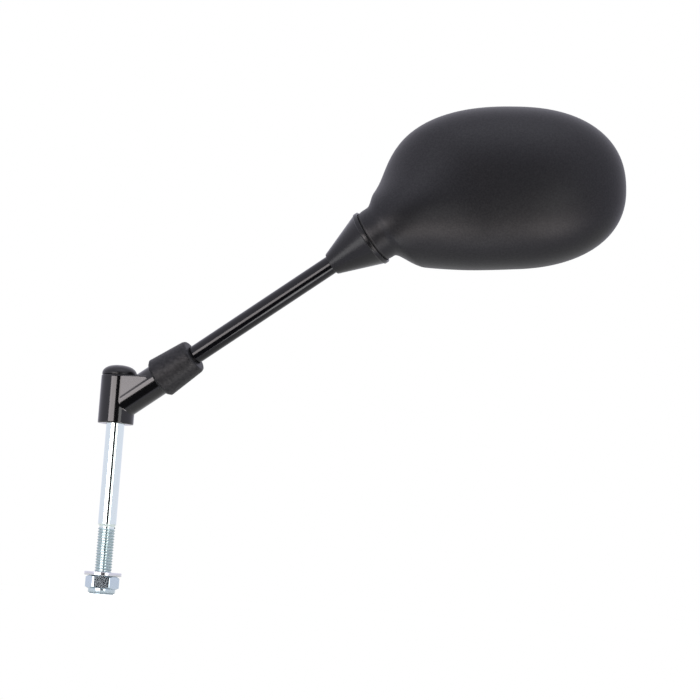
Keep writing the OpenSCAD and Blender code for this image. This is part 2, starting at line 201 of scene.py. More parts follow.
# Thin black enamel on drawn steel: the same stripes, a little weaker.
rod_enamel = finish_of("rod_enamel", "#040406", 0.13, 0.0, 0.34)[0]
# Glass-filled nylon, dull and dark grey.
socket_plastic = finish_of("socket_plastic", "#101011", 0.5)[0]
# Nylon without colour: milky white. The one in the nut is a little bluer.
nylon = finish_of("natural_nylon", "#E4E5DF", 0.45)[0]
nut_nylon = finish_of("nut_nylon", "#D9DEE4", 0.4)[0]
# Extruded rubber and foam: no highlight to speak of.
gasket_rubber = finish_of("gasket_rubber", "#121213", 0.6)[0]
foam = finish_of("black_foam", "#2A2A2C", 0.9)[0]

# %% [markdown]
# Metals and glass
#
# Zinc plating with a clear blue passivate is a bright metal with a cold tint. A metal shows only
# what it mirrors, so each gets its tint and a roughness from how its surface was made, and keeps
# the default IOR.

# %% Zinc, steel and silvered glass
# Drawn before plating: smooth, almost a mirror.
zinc_shank = finish_of("zinc_plated_shank", "#E0ECE9", 0.11, 1.0)[0]
# Rolled, with plating in its grooves: duller and darker.
zinc_thread = finish_of("zinc_plated_thread", "#A8BBBC", 0.24, 1.0)[0]
# Cold-formed flats: bright, with slightly soft reflections.
zinc_nut = finish_of("zinc_plated_nut", "#C4D3DA", 0.13, 1.0)[0]
# Stamped sheet: a little duller, and less blue.
zinc_washer = finish_of("zinc_plated_washer", "#D6D8DA", 0.16, 1.0)[0]
# Ground steel: a grey satin.
steel = finish_of("ground_steel", "#B4B7BA", 0.3, 1.0)[0]
# A silver coat behind glass: a clean mirror.
silvered_glass = finish_of("silvered_glass", "#E3E8EA", 0.02, 1.0)[0]

# %% [markdown]
# Turned shapes
#
# Most pieces come off a lathe or out of a round mould. The Screw modifier could turn a profile,
# but here the points are turned in the script, so that a limit on the radius can give a hexagon
# its flats. `eased` first rounds the corners of the profile, as no real edge is sharp.

# %% Profiles
def eased(corners, radius, steps=4):
    """Rounds the inner corners of an open line of (r, z) points, each by its own or this radius."""
    points = [corners[0][:2]]
    for before, here, after in zip(corners, corners[1:], corners[2:]):
        a, b, c = (np.array(p[:2], float) for p in (before, here, after))
        to_a, to_c = a - b, c - b
        long_a, long_c = np.linalg.norm(to_a), np.linalg.norm(to_c)
        own = here[2] if len(here) > 2 else radius
        half = math.acos(max(-1, min(1, to_a @ to_c / (long_a * long_c)))) / 2
        cut = min(own / max(math.tan(half), 1e-6), 0.45 * long_a, 0.45 * long_c)
        start, end = b + to_a / long_a * cut, b + to_c / long_c * cut
        for t in np.arange(steps + 1) / steps:
            points.append(tuple((1 - t) ** 2 * start + 2 * t * (1 - t) * b + t**2 * end))
    points.append(corners[-1][:2])
    return points


def spun(profile, limit=None, sides=128):
    """Turns (r, z) points about z. A limit gives the greatest radius at each angle."""
    angles = np.arange(sides) * 2 * math.pi / sides
    most = limit(angles) if limit else np.full(sides, np.inf)
    rows = []
    for r, z in profile:
        radii = np.minimum(r, most)
        rows.append(np.stack([radii * np.cos(angles), radii * np.sin(angles), np.full(sides, z)], -1))
    return np.array(rows)


def hexagon(flats):
    """Radius of a hexagon with those flats, one of them facing -Y, at each angle."""
    return lambda a: flats / 2 / np.cos(a % (math.pi / 3) - math.pi / 6)


# %% Meshes
def mesh_object(name, points, faces, material, crease=40.0):
    """A mesh with its points in mm; faces that meet at more than the crease angle stay sharp."""
    mesh = bpy.data.meshes.new(name)
    mesh.from_pydata([tuple(p) for p in np.asarray(points) * MM], [], faces)
    made = bmesh.new()
    made.from_mesh(mesh)
    bmesh.ops.remove_doubles(made, verts=made.verts, dist=2e-7)
    bmesh.ops.recalc_face_normals(made, faces=made.faces)
    if made.calc_volume(signed=True) < 0:
        bmesh.ops.reverse_faces(made, faces=made.faces)
    made.to_mesh(mesh)
    made.free()
    mesh.materials.append(material)
    obj = bpy.data.objects.new(name, mesh)
    bpy.context.scene.collection.objects.link(obj)
    mesh.shade_smooth()
    if crease < 180:
        mesh.set_sharp_from_angle(angle=math.radians(crease))
    return obj


def quads(rows, columns, close_rows=False):
    """Faces of a grid whose columns close on themselves, and its rows too where asked."""
    i, j = np.meshgrid(np.arange(rows if close_rows else rows - 1), np.arange(columns), indexing="ij")
    k, n = (j + 1) % columns, (i + 1) % rows
    corners = [i * columns + j, i * columns + k, n * columns + k, n * columns + j]
    return np.stack(corners, -1).reshape(-1, 4).tolist()


# %% Hanging a piece on its body
def worn(obj, body, nodes=()):
    """Hangs a piece on its body, in place of the CAD nodes that it covers."""
    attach(obj, body)
    if nodes:
        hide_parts(*nodes)
    print(obj.name, len(obj.data.polygons), "faces")
    return obj


def turned(name, profile, material, body, nodes, place=upright, closed=False, limit=None, crease=40.0):
    """Spins a profile, places it, and hangs it on its body. With closed, its last point joins its first."""
    rows = spun(profile, limit)
    faces = quads(rows.shape[0], rows.shape[1], closed)
    obj = mesh_object(name, place(rows.reshape(-1, 3)), faces, material, crease)
    return worn(obj, body, nodes)


# %% [markdown]
# The bolt
#
# A long socket screw: its head hides in the adapter, its shank is plain, and its end is threaded.
# A cylinder would do for the shank alone. One turned profile gives the head with its socket, the
# step down to the thread's root and the chamfered end as well, all in one closed piece.

# %% Bolt, core and head
SHANK_R, THREAD_R, THREAD_TOP, BOLT_REACH = 4.9, 4.7, 55.0, 91.6
BOLT_HEAD_R, BOLT_HEAD_LOW, BOLT_HEAD_HEIGHT = 7.8, 14.55, 8.4
SOCKET_R, SOCKET_FLOOR, THREAD_DEEP = 4.2, 3.4, 0.62
root_r = THREAD_R - THREAD_DEEP
bolt_top = BOLT_HEAD_LOW + BOLT_HEAD_HEIGHT
bolt_profile = eased([(0, -BOLT_REACH), (root_r - 0.5, -BOLT_REACH), (root_r, -BOLT_REACH + 1),
    (root_r, -THREAD_TOP - 0.6), (SHANK_R, -THREAD_TOP + 0.6), (SHANK_R, BOLT_HEAD_LOW),
    (BOLT_HEAD_R, BOLT_HEAD_LOW), (BOLT_HEAD_R, bolt_top), (SOCKET_R, bolt_top),
    (SOCKET_R, BOLT_HEAD_LOW + SOCKET_FLOOR), (0, BOLT_HEAD_LOW + SOCKET_FLOOR)], 0.3)
turned("bolt_look", bolt_profile, zinc_shank, "bolt", ["mounting_bolt"])

# %% [markdown]
# The thread
#
# A real thread climbs, so a stack of rings would look wrong from the side. Geometry Nodes draw a
# spiral curve of so many turns, sweep a small four-sided ridge along it and set its finish. The
# pitch, the turns, the radius and the ridge are named inputs, so the same tree makes any thread.

# %% Thread, as a tree of nodes
PITCH, RIDGE, THREAD_LOW = 1.5, 0.72, -BOLT_REACH + 0.9
thread_tree = bpy.data.node_groups.new("rolled_thread", "GeometryNodeTree")
defaults = {"Pitch": PITCH, "Turns": 20.0, "Outer radius": THREAD_R, "Ridge": RIDGE, "Bottom": THREAD_LOW}
for label, value in defaults.items():
    socket = thread_tree.interface.new_socket(label, in_out="INPUT", socket_type="NodeSocketFloat")
    socket.default_value = value
thread_tree.interface.new_socket("Finish", in_out="INPUT", socket_type="NodeSocketMaterial")
thread_tree.interface.new_socket("Geometry", in_out="OUTPUT", socket_type="NodeSocketGeometry")
sizes = add(thread_tree, "NodeGroupInput").outputs


def worked(operation, a, b):
    """One sum in the thread's tree."""
    return add(thread_tree, "ShaderNodeMath", {"operation": operation}, i0=a, i1=b).outputs[0]


ridge_m = worked("MULTIPLY", sizes["Ridge"], MM)
middle_m = worked("SUBTRACT", worked("MULTIPLY", sizes["Outer radius"], MM), ridge_m)
climb_m = worked("MULTIPLY", worked("MULTIPLY", sizes["Pitch"], sizes["Turns"]), MM)
helix = add(thread_tree, "GeometryNodeCurveSpiral", Resolution=40, Rotations=sizes["Turns"],
            Start_Radius=middle_m, End_Radius=middle_m, Height=climb_m)
steady = add(thread_tree, "GeometryNodeSetCurveNormal", {"mode": "Z_UP"}, Curve=helix.outputs[0])
ridge = add(thread_tree, "GeometryNodeCurvePrimitiveCircle", {"mode": "RADIUS"}, Resolution=4, Radius=ridge_m)
sweep = add(thread_tree, "GeometryNodeCurveToMesh", Curve=steady.outputs[0],
            Profile_Curve=ridge.outputs[0], Fill_Caps=True)
low_end = add(thread_tree, "ShaderNodeCombineXYZ", Z=worked("MULTIPLY", sizes["Bottom"], MM))
moved = add(thread_tree, "GeometryNodeTransform", Geometry=sweep.outputs[0], Translation=low_end.outputs[0])
real = add(thread_tree, "GeometryNodeRealizeInstances", Geometry=moved.outputs[0])
dressed = add(thread_tree, "GeometryNodeSetMaterial", Geometry=real.outputs[0], Material=sizes["Finish"])
add(thread_tree, "NodeGroupOutput", Geometry=dressed.outputs[0])
print("the thread's tree has", len(thread_tree.nodes), "nodes")


# %% Growing the thread
def grown(name, group, values):
    """Runs a tree on an empty mesh and returns its result as a plain mesh object."""
    seed = bpy.data.objects.new(name + "_seed", bpy.data.meshes.new(name + "_seed"))
    bpy.context.scene.collection.objects.link(seed)
    modifier = seed.modifiers.new("tree", "NODES")
    modifier.node_group = group
    for item in group.interface.items_tree:
        if item.in_out == "INPUT" and item.name in values:
            modifier[item.identifier] = values[item.name]
    graph = bpy.context.evaluated_depsgraph_get()
    mesh = bpy.data.meshes.new_from_object(seed.evaluated_get(graph))
    bpy.data.objects.remove(seed)
    obj = bpy.data.objects.new(name, mesh)
    bpy.context.scene.collection.objects.link(obj)
    return obj


# whole turns that fit between the bolt's end and the shank, with 1.2 mm left for the run-out
thread_turns = float(int((BOLT_REACH - THREAD_TOP - 1.2) / PITCH))
thread = grown("bolt_thread", thread_tree, {"Turns": thread_turns, "Finish": zinc_thread})
worn(thread, "bolt")

# %% [markdown]
# Washer and lock nut
#
# The washer is a stamped ring. The nut is a hexagon with a round collar that holds a nylon ring.
# A hexagon could be cut from a cylinder with booleans, but a turned profile whose radius is held
# to the flats gives the same nut, with the curved edges that its chamfers leave on each flat.

# %% Washer
NUT_LOW, NUT_FLATS, NUT_HEIGHT, NUT_COLLAR = 92.0, 15.8, 9.8, 2.8
WASHER_R, WASHER_HOLE, WASHER_THICK = 10.0, 5.2, 2.0
nut_top = NUT_HEIGHT - NUT_LOW
washer_top, washer_middle = nut_top + WASHER_THICK, nut_top + WASHER_THICK / 2
washer_profile = eased([(WASHER_HOLE, washer_middle), (WASHER_HOLE, nut_top), (WASHER_R, nut_top),
    (WASHER_R, washer_top), (WASHER_HOLE, washer_top), (WASHER_HOLE, washer_middle)], 0.35)
turned("washer_look", washer_profile, zinc_washer, "bolt", ["flat_washer"], crease=60)

# %% Lock nut
NUT_BORE_R, RING_R = 4.7, 6.0
corner_r = NUT_FLATS / 2 / math.cos(math.pi / 6)
face_r = NUT_FLATS / 2 - 0.3
collar_r = NUT_FLATS / 2 - 0.6
chamfer = (corner_r - face_r) * math.tan(math.radians(30))
hex_height = NUT_HEIGHT - NUT_COLLAR
hex_low = nut_top - hex_height


def chamfered(share, edge, way):
    """A point that share of the way up one of the hexagon's chamfers."""
    return face_r + (corner_r - face_r) * share, edge + way * chamfer * share


eighths = [i / 8 for i in range(9)]
nut_profile = [(NUT_BORE_R, nut_top)] + [chamfered(share, nut_top, -1) for share in eighths]
nut_profile += [(corner_r, nut_top - chamfer - (hex_height - 2 * chamfer) * i / 4) for i in (1, 2, 3)]
nut_profile += [chamfered(share, hex_low, 1) for share in eighths[::-1]]
nut_profile += eased([(collar_r, hex_low), (collar_r, -NUT_LOW + 0.9), (collar_r - 1.1, -NUT_LOW),
    (RING_R + 0.4, -NUT_LOW)], 0.6)
nut_profile += [(RING_R, -NUT_LOW + 0.5), (NUT_BORE_R, -NUT_LOW + 0.5)]
turned("locknut_look", nut_profile, zinc_nut, "bolt", ["locknut"], closed=True,
       limit=hexagon(NUT_FLATS), crease=25)

# %% [markdown]
# The adapter
#
# One die casting: an upright barrel, a slanting boss and a flat web between them, with small cast
# fillets. Booleans and a bevel tend to break where such shapes run into each other. Here the
# casting is described by distances, which blend softly where two shapes meet, and skinned with
# surface nets: each cell that the surface crosses gets one point, which is then moved onto it.
# The web stands a little prouder than in the CAD part, because its reflection says so.

# %% Distances
def soft_union(a, b, k):
    """The nearer of two distances, with a fillet of about that size."""
    h = np.maximum(k - np.abs(a - b), 0) / k
    return np.minimum(a, b) - h * h * k / 4


def soft_cut(a, b, k):
    """The farther of two distances, with its edge rounded by about that size."""
    return -soft_union(-a, -b, k)


def drum(radial, axial, radius, start, end, round_mm):
    """Distance from a solid cylinder whose edges are rounded."""
    return soft_cut(radial - radius, np.maximum(start - axial, axial - end), round_mm)


BARREL_R, BARREL_HEIGHT, POCKET_R, POCKET_FLOOR = 9.7, 26.2, 8.3, 13.0
BOSS_R, BOSS_END, WEB_HALF, WEB_RUN = 8.65, 31.0, 8.59, 19.1
WEB_TIP_RUN, WEB_TIP_DROP = 3.9, 5.6
ROD_R, BORE_FROM, SHANK_PLAY = 5.0, 15.5, 0.06
CAST_EDGE, WEB_EDGE, MOUTH_EDGE = 0.7, 0.2, 0.4
BOSS_FROM, WEB_FILLET, SHARP, FILLET = -2, 0.35, 0.06, 0.25


def adapter_gap(p):
    """Distance in mm from the casting's surface, less than nought inside the metal."""
    x, y, z = p[..., 0], p[..., 1], p[..., 2]
    run = x * math.cos(turn) - y * math.sin(turn)
    side = x * math.sin(turn) + y * math.cos(turn)
    along = run * math.cos(rise) + (z - STEM_CROSS) * math.sin(rise)
    above = (z - STEM_CROSS) * math.cos(rise) - run * math.sin(rise)
    radial = np.hypot(x, y)
    barrel = drum(radial, z, BARREL_R, 0, BARREL_HEIGHT, CAST_EDGE)
    boss = drum(np.hypot(side, above), along, BOSS_R, BOSS_FROM, BOSS_END, CAST_EDGE)
    tip = (run - WEB_RUN) * WEB_TIP_DROP + (z - BARREL_HEIGHT) * WEB_TIP_RUN
    web = np.maximum(tip / math.hypot(WEB_TIP_DROP, WEB_TIP_RUN), np.maximum(-above, -run))
    web = soft_cut(web, np.abs(side) - WEB_HALF, WEB_EDGE)
    upright_part = soft_cut(soft_union(barrel, web, WEB_FILLET), z - BARREL_HEIGHT, WEB_EDGE)
    # the web's face runs sharply into the boss, and only the lower joint has a fillet
    solid = soft_union(upright_part, boss, np.clip(SHARP - 0.2 * above, SHARP, FILLET))
    pocket = np.maximum(radial - POCKET_R, POCKET_FLOOR - z)
    pocket = np.minimum(pocket, radial - SHANK_R - SHANK_PLAY)
    bore = np.maximum(np.hypot(side, above) - ROD_R, BORE_FROM - along)
    return soft_cut(solid, -np.minimum(pocket, bore), MOUTH_EDGE)


# %% Surface nets
def net_points(gap, grid):
    """One point for each cell that the surface crosses, and the number of each cell's point."""
    value = gap(grid)
    inside = value < 0
    cells = tuple(n - 1 for n in inside.shape)
    count = np.zeros(cells, int)
    place = np.zeros(cells + (3,))

    def shifted(a, c):
        return a[c[0] : c[0] + cells[0], c[1] : c[1] + cells[1], c[2] : c[2] + cells[2]]

    for c in np.ndindex(2, 2, 2):
        for axis in range(3):
            if c[axis] == 0:
                d = tuple(v + (n == axis) for n, v in enumerate(c))
                at_c, at_d = shifted(value, c), shifted(value, d)
                crossed = (at_c < 0) != (at_d < 0)
                t = np.where(crossed, at_c / np.where(crossed, at_c - at_d, 1), 0)[..., None]
                spot = shifted(grid, c) * (1 - t) + shifted(grid, d) * t
                place += np.where(crossed[..., None], spot, 0)
                count += crossed
    used = count > 0
    number = np.full(cells, -1)
    number[used] = np.arange(used.sum())
    return place[used] / count[used][:, None], number, inside


def settled(gap, points, rounds=4, nudge=1e-3):
    """Moves points onto the surface, down the slope of the distance."""
    for _ in range(rounds):
        base = gap(points)
        slope = np.stack([(gap(points + e) - base) / nudge for e in np.eye(3) * nudge], -1)
        points = points - slope * (base / np.maximum((slope**2).sum(-1), 1e-6))[:, None]
    return points


def skinned(gap, low_mm, high_mm, step):
    """Surface nets over a box: points on the surface, and a face over each crossed grid line."""
    axes = [np.arange(a, b + step, step) for a, b in zip(low_mm, high_mm)]
    grid = np.stack(np.meshgrid(*axes, indexing="ij"), -1)
    points, number, inside = net_points(gap, grid)
    faces = []
    for axis in range(3):
        order = (axis, (axis + 1) % 3, (axis + 2) % 3)
        a = np.moveaxis(inside, order, (0, 1, 2))
        n = np.moveaxis(number, order, (0, 1, 2))
        i, j, k = np.nonzero(a[:-1, 1:-1, 1:-1] != a[1:, 1:-1, 1:-1])
        ring = np.stack([n[i, j, k], n[i, j + 1, k], n[i, j + 1, k + 1], n[i, j, k + 1]], -1)
        flip = ~a[i, j + 1, k + 1]
        ring[flip] = ring[flip][:, ::-1]
        faces += ring.tolist()
    return settled(gap, points), faces


# %% Adapter
BOX_LOW, BOX_HIGH, CELL = (-10.6, -19.0, -0.8), (32.6, 13.0, 37.6), 0.4
points, faces = skinned(adapter_gap, BOX_LOW, BOX_HIGH, CELL)
adapter = mesh_object("adapter_look", points, faces, gloss_paint, 180)
worn(adapter, "adapter", ["clamp_body"])

# %% [markdown]
# The dome cap
#
# A plastic plug that keeps rain off the bolt's head. A squashed half ball would be too pointed at
# its edge: the power on the cosine fills the dome out, so that its edge turns down more steeply.

# %% Dome cap
CAP_R, CAP_RISE, CAP_EDGE, CAP_FULLNESS = 9.45, 5.8, 0.9, 0.8
cap_low, cap_edge = BARREL_HEIGHT + 0.12, BARREL_HEIGHT + CAP_EDGE
cap_profile = [(0, cap_low), (CAP_R - 0.3, cap_low), (CAP_R, cap_low + 0.3), (CAP_R, cap_edge - 0.1)]
cap_profile += [(CAP_R * math.cos(a) ** CAP_FULLNESS, cap_edge + (CAP_RISE - CAP_EDGE) * math.sin(a))
    for a in np.radians(np.linspace(0, 90, 19))]
turned("cap_look", cap_profile, cap_plastic, "adapter", ["dome_cap"])

# %% [markdown]
# The stem
#
# The rod is a plain drawn bar, and the boot and the cone slip over it. All three are turned about
# the stem's own axis. The boot's ends are rolled round, as rubber has no sharp edges, and the cone
# ends in a small lip, with a hollow cup behind it that clears the head's ball-shaped neck.

# %% Rod
ROD_FROM, ROD_TO, ROD_PIN_R, ROD_STEPS = 39.1, 157.8, 4.0, 12
rod_profile = [(0, ROD_FROM)]
rod_profile += [(ROD_R, ROD_FROM + (ROD_TO - ROD_FROM) * i / ROD_STEPS) for i in range(ROD_STEPS + 1)]
rod_profile += [(ROD_PIN_R, ROD_TO + 0.6), (ROD_PIN_R, BALL_AT - 8), (0, BALL_AT - 8)]
turned("rod_look", rod_profile, rod_enamel, "stem", ["stem_rod"], along_stem)

# %% Boot
BOOT_FROM, BOOT_TO, BOOT_LOW_R, BOOT_HIGH_R, BOOT_BORE_R = 28.4, 51.9, 11.15, 9.55, 8.95
boot_profile = eased([(BOOT_BORE_R, BOOT_FROM + 2.9), (BOOT_BORE_R, BOOT_FROM, 0.3), (9.9, BOOT_FROM, 0.4),
    (BOOT_LOW_R, BOOT_FROM + 1.4, 0.5), (BOOT_HIGH_R, BOOT_TO - 1.7, 2.5), (BOOT_HIGH_R - 0.7, BOOT_TO, 1.2),
    (ROD_R, BOOT_TO), (ROD_R, BOOT_TO - 0.9)], 0.4, 6)
turned("boot_look", boot_profile, boot_rubber, "stem", ["lower_boot"], along_stem, closed=True)

# %% Cone cover
NECK_R = 14.5
CONE_LENGTH, CONE_SMALL_R, CONE_LARGE_R, LIP_R, LIP_LENGTH, LIP_SHORT = 26.5, 6.1, 15.0, 15.5, 2.2, 3.3
CUP_R, CUP_FROM, CUP_TO = NECK_R + 0.4, 12.9, 69
cone_end = BALL_AT - LIP_SHORT
cone_from, lip_from = cone_end - CONE_LENGTH, cone_end - LIP_LENGTH
cup = [(CUP_R * math.cos(a), BALL_AT - CUP_R * math.sin(a))
    for a in np.radians(np.linspace(CUP_FROM, CUP_TO, 18))]
cone_profile = eased([(ROD_R, cone_from + 1), (ROD_R, cone_from, 0.3), (CONE_SMALL_R, cone_from, 0.7),
    (CONE_LARGE_R, lip_from - 0.3, 0.4), (LIP_R, lip_from, 0.5), (LIP_R, cone_end, 0.5), cup[0]], 0.4)
turned("cone_look", cone_profile + cup[1:], cone_plastic, "stem", ["cone_cover"],
       along_stem, closed=True, crease=60)

# %% [markdown]
# The housing
#
# The main moulding: a dome over an egg-shaped rim, and a neck that starts as a ball around the
# joint, bends, thins and sinks into the dome. It could be sculpted, or pulled out of a subdivided
# cube, but both drift from the CAD part. Its rule is simple to write as distances: a dome, a neck
# and a soft sweep between them. The neck's sweep starts a little earlier than in the CAD part,
# because a harder crease showed there.
# A fan of planes, from the neck's mouth round to the rim, cuts that surface into closed rows, so
# every row can be joined to the next, and the inner wall is cut the same way.

# %% The rim's outline
RIM_OUT, RIM_IN, RIM_UP, RIM_LOW = 58.9, 70.2, 44.5, 43.0
SQUARE_OUT_UP, SQUARE_OUT_LOW, SQUARE_IN_UP, SQUARE_IN_LOW = 2.3, 2.25, 2.35, 3.8
UP_TAPER, LOW_TAPER = 0.016, 0.038


def rim_norm(x, z):
    """1 on the rim, less inside it."""
    out = x / np.maximum(np.hypot(x, z), 0.001)
    along = np.abs(x) / np.where(x > 0, RIM_OUT, RIM_IN)
    across = np.abs(z) / np.where(z > 0, RIM_UP * (1 - UP_TAPER * out), RIM_LOW * (1 - LOW_TAPER * out))
    outer_n = np.where(z > 0, SQUARE_OUT_UP, SQUARE_OUT_LOW)
    inner_n = np.where(z > 0, SQUARE_IN_UP, SQUARE_IN_LOW)
    n = np.where(x > 0, outer_n, inner_n)
    return (along**n + across**n) ** (1 / n)


print("the rim is", RIM_OUT + RIM_IN, "by", RIM_UP + RIM_LOW, "mm")

# %% The housing's surface
HEAD_DEPTH, DOME_SQUARE, WALL = 33.0, 2.35, 2.3
NECK_SWEEP, SWEEP_FROM, SWEEP_RUN = 30.0, -4.0, 13.0
NECK_SINK, NECK_BEND, THIN_FROM, BEND_FROM = 48.0, 0.009, 6, 8
neck_dir = np.array([STEM @ HEAD_X, STEM[1], STEM @ HEAD_Z])


def smooth(x):
    """Eases a value from 0 to 1."""
    x = np.clip(x, 0, 1)
    return x * x * (3 - 2 * x)


def housing_gap(p):
    """Distance in mm from the housing's outer surface, less than nought inside it."""
    deep = np.abs(p[..., 1]) / HEAD_DEPTH
    g = (rim_norm(p[..., 0], p[..., 2]) ** DOME_SQUARE + deep**DOME_SQUARE) ** (1 / DOME_SQUARE)
    dome = np.linalg.norm(p, axis=-1) * (1 - 1 / np.maximum(g, 0.02))
    q = p - BALL_IN_HEAD
    t = q @ neck_dir
    bend = NECK_BEND * np.maximum(t - BEND_FROM, 0) ** 2
    side = np.linalg.norm(q - t[..., None] * neck_dir - bend[..., None] * HEAD_Y, axis=-1)
    thin = np.maximum(t - THIN_FROM, 0) / NECK_SINK
    neck = np.where(t < 0, np.linalg.norm(q, axis=-1) - NECK_R, side - NECK_R * (1 - thin**2))
    return soft_union(dome, neck, 0.01 + NECK_SWEEP * smooth((t - SWEEP_FROM) / SWEEP_RUN))


def reach_to(mid, way, level, far, halvings=26):
    """How far it is from a point to the surface at that level, found by halving."""
    near, away = np.zeros(way.shape[:-1]), np.full(way.shape[:-1], float(far))
    for _ in range(halvings):
        half = (near + away) / 2
        inside = housing_gap(mid + half[..., None] * way) < level
        near, away = np.where(inside, half, near), np.where(inside, away, half)
    return (near + away) / 2


# %% Fan of planes
# The fan turns about a line square to the neck's own plane, where the mouth's plane meets the rim's.
MOUTH_AT, COLUMNS = -2.0, 224
OUTER_ROWS, INNER_ROWS, CROWDING, FAR = 120, 40, 1.4, 150
flat_len = math.hypot(neck_dir[0], neck_dir[2])
v_dir = np.array([neck_dir[0], 0, neck_dir[2]]) / flat_len
w_dir = np.array([-neck_dir[2], 0, neck_dir[0]]) / flat_len
mouth = BALL_IN_HEAD + MOUTH_AT * neck_dir
fan_reach = -mouth[1] / flat_len
fan_start = math.pi / 2 + math.asin(-neck_dir[1])
fan_line = mouth + fan_reach * (-neck_dir[1] * v_dir + flat_len * HEAD_Y)


def fan_rows(count, level):
    """Closed rows of the surface at that level, from the mouth round to the rim."""
    rows = []
    angles = np.arange(COLUMNS) * 2 * math.pi / COLUMNS
    for r in range(count + 1):
        f = fan_start * (1 - r / count) ** CROWDING
        d = math.cos(f) * v_dir - math.sin(f) * HEAD_Y
        mid = fan_line + fan_reach * d
        mid = mid + (reach_to(mid, d, level, FAR) - reach_to(mid, -d, level, fan_reach + 5)) / 2 * d
        mid = mid + (reach_to(mid, w_dir, level, 120) - reach_to(mid, -w_dir, level, 120)) / 2 * w_dir
        way = np.cos(angles)[:, None] * d + np.sin(angles)[:, None] * w_dir
        rows.append(mid + reach_to(mid, way, level, FAR)[:, None] * way)
    return rows


# %% Housing
outer = fan_rows(OUTER_ROWS, 0.0)
inner = fan_rows(INNER_ROWS, -WALL)[::-1]
# two more rows ease the rim's edge
rim = outer[-1]
outward = rim / np.linalg.norm(rim, axis=-1, keepdims=True)
outer[-1] = rim - 0.35 * HEAD_Y
rim_rows = [rim - 0.12 * outward - 0.1 * HEAD_Y, rim - 0.4 * outward]
rows = np.array(outer + rim_rows + inner)
faces = quads(rows.shape[0], COLUMNS, True)
housing = mesh_object("housing_look", on_head(rows.reshape(-1, 3)), faces, housing_abs, 50)
worn(housing, "head", ["housing"])

# %% [markdown]
# The glass and its gasket
#
# Silvered glass with a slight bulge, for a wider view, in a rubber ring inside the rim. A flat
# plate would mirror the room too evenly. Both are rows of the rim's own outline, drawn in by the
# wall, so they follow the housing wherever its outline goes.

# %% Glass
GLASS_SIDES, GLASS_RINGS, GLASS_INSET = 192, 24, 1.4
BULGE, GLASS_EDGE_AT, GLASS_BACK_AT = 1.0, -1.25, -4.1


def outline(inset):
    """The rim's outline in its own plane, drawn in by that many mm."""
    a = np.arange(GLASS_SIDES) * 2 * math.pi / GLASS_SIDES
    r = 1 / rim_norm(np.cos(a), np.sin(a)) - inset
    return np.stack([r * np.cos(a), np.zeros(GLASS_SIDES), r * np.sin(a)], -1)


glass_edge = outline(WALL + GLASS_INSET)
front = [s * glass_edge + HEAD_Y * (GLASS_EDGE_AT + BULGE * (1 - s * s))
    for s in np.linspace(0, 1, GLASS_RINGS + 1)]
back = [s * glass_edge + HEAD_Y * GLASS_BACK_AT for s in (1, 0)]
glass_rows = np.array(front + back)
faces = quads(glass_rows.shape[0], GLASS_SIDES)
glass = mesh_object("glass_look", on_head(glass_rows.reshape(-1, 3)), faces, silvered_glass, 30)
worn(glass, "head", ["mirror_glass"])

# %% Gasket
# each point is how far in from the wall it lies, and at what height
section = [(0.6, -4.2), (0.6, -1.0), (0.75, -0.55), (1.05, -0.4), (1.3, -0.55), (1.4, -1.0), (1.4, -4.2)]
gasket_rows = np.array([outline(WALL + inset) + HEAD_Y * height for inset, height in section])
faces = quads(len(section), GLASS_SIDES, True)
gasket = mesh_object("gasket_look", on_head(gasket_rows.reshape(-1, 3)), faces, gasket_rubber, 50)
worn(gasket, "head", ["rim_gasket"])

# %% [markdown]
# The pieces inside
#
# The ball, its seat, the springs and the rest hardly show, so the CAD solids stay as they are.
# Each gets the finish of the real piece, for a picture with the head taken apart.

# %% Finishes of the pieces that stay as the CAD part made them
inside_finishes = {
    steel: ("head_washer", "stem_ball", "stem_nut_washer", "disc_spring", "spring_plate", "retaining_ring"),
    zinc_nut: ("stem_locknut",),
    nut_nylon: ("locknut_ring",),
    nylon: ("ball_seat_ring", "pressure_cup"),
    socket_plastic: ("neck_socket", "glass_carrier"),
    foam: ("foam_pad",),
}
for material, names in inside_finishes.items():
    for name in names:
        CAD[name].data.materials.clear()
        CAD[name].data.materials.append(material)
    print(material.name, "on", ", ".join(names))

# %% [markdown]
# Camera
#
# The photograph was taken with a long lens from a little below the mirror. Its place could be
# guessed by eye. It was worked out instead from the bolt's, the rod's and the rim's places in the
# picture, and the roll leans the bolt as it leans there.

# %% Camera
EYE = Vector((0.12376, -1.330, -0.090))
LOOK = Vector((0.12376, -0.030, 0.04651))
ROLL = math.radians(-4.25)
LENS_PIXELS, FRAME_PIXELS, SENSOR_MM = 2458.4, 700, 36
camera = bpy.data.objects.new("camera", bpy.data.cameras.new("camera"))
bpy.context.scene.collection.objects.link(camera)
aim = (LOOK - EYE).to_track_quat("-Z", "Y").to_matrix().to_4x4()
camera.matrix_world = Matrix.Translation(EYE) @ aim @ Matrix.Rotation(-ROLL, 4, "Z")
camera.data.sensor_width = SENSOR_MM
camera.data.lens = SENSOR_MM * LENS_PIXELS / FRAME_PIXELS
camera.data.clip_end = 20
bpy.context.scene.camera = camera
print("lens", round(camera.data.lens, 1), "mm")

# %% [markdown]
# Floor
#
# A sheet of white paper just under the lock nut. A large one would be mirrored in the glossy
# adapter, which is dark there in the photograph, so its front edge is just before the mirror. To
# the camera it glows a little, as a light table does, and so it runs into the white behind it and
# still keeps the mirror's shadow.

